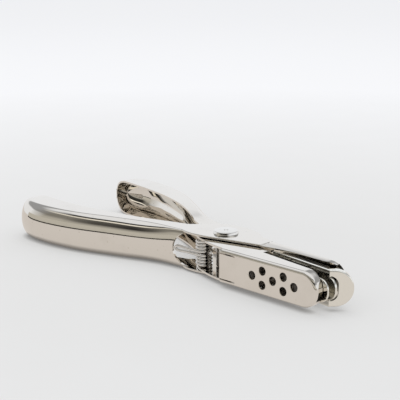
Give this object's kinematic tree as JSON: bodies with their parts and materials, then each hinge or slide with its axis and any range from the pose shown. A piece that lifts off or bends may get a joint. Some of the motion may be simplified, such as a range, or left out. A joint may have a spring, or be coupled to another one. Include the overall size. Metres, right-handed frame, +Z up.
{
  "type": "hole punch",
  "caption": "Pressed-steel plier hole punch with sprung handles, a pivot rivet, a parallel paper throat and a guided cluster of round punch pins.",
  "frame": {"origin": "the pivot axis on the plane the punch lies on, which is the flat lower head of the pivot rivet", "axes": "+Z up along the pivot axis, +X from the pivot towards the noses of the jaws, +Y from the die jaw towards the press jaw"},
  "size_m": [0.1649, 0.0728, 0.0165],
  "materials": {
    "plated_lever": "bright nickel plate on pressed steel",
    "plated_plate": "satin nickel plate",
    "plated_rivet": "bright nickel plate, formed head",
    "spacer_steel": "plain mill steel",
    "bush_steel": "turned steel",
    "spring_steel": "drawn spring wire, plated",
    "carrier_steel": "plain sheet steel",
    "tool_steel": "ground, hardened steel"
  },
  "bodies": {
    "die_arm": {"die_lever": "plated_lever", "die_plate": "plated_plate", "guide_plate": "plated_plate", "throat_spacer": "spacer_steel", "guide_rivet_upper": "plated_rivet", "guide_rivet_lower": "plated_rivet", "pivot_bush": "bush_steel", "spring_post": "bush_steel", "torsion_spring": "spring_steel"},
    "press_arm": {"press_lever": "plated_lever", "pivot_rivet": "plated_rivet"},
    "pin_pack": {"pin_carrier": "carrier_steel", "pin_backing_plate": "carrier_steel", "carrier_rivet_rear": "plated_rivet", "carrier_rivet_front": "plated_rivet", "lift_stud": "plated_rivet", "punch_pin_1": "tool_steel", "punch_pin_2": "tool_steel", "punch_pin_3": "tool_steel", "punch_pin_4": "tool_steel", "punch_pin_5": "tool_steel", "punch_pin_6": "tool_steel", "punch_pin_7": "tool_steel"}
  },
  "joints": [
    {"name": "lever_hinge", "type": "hinge", "parent": "die_arm", "child": "press_arm", "pos_m": [0, 0, 0.008], "axis": [0, 0, -1], "range_deg": [0, 5.08], "stiffness_Nm_per_rad": 1.2, "springref_deg": -34.38, "deforming": ["torsion_spring"]},
    {"name": "pin_slide", "type": "slide", "parent": "die_arm", "child": "pin_pack", "axis": [-0.1426, -0.9898, 0], "range_m": [0, 0.0033]}
  ],
  "couplings": [
    {"joint": "pin_slide", "follows": "lever_hinge", "m_per_rad": 0.0372}
  ]
}
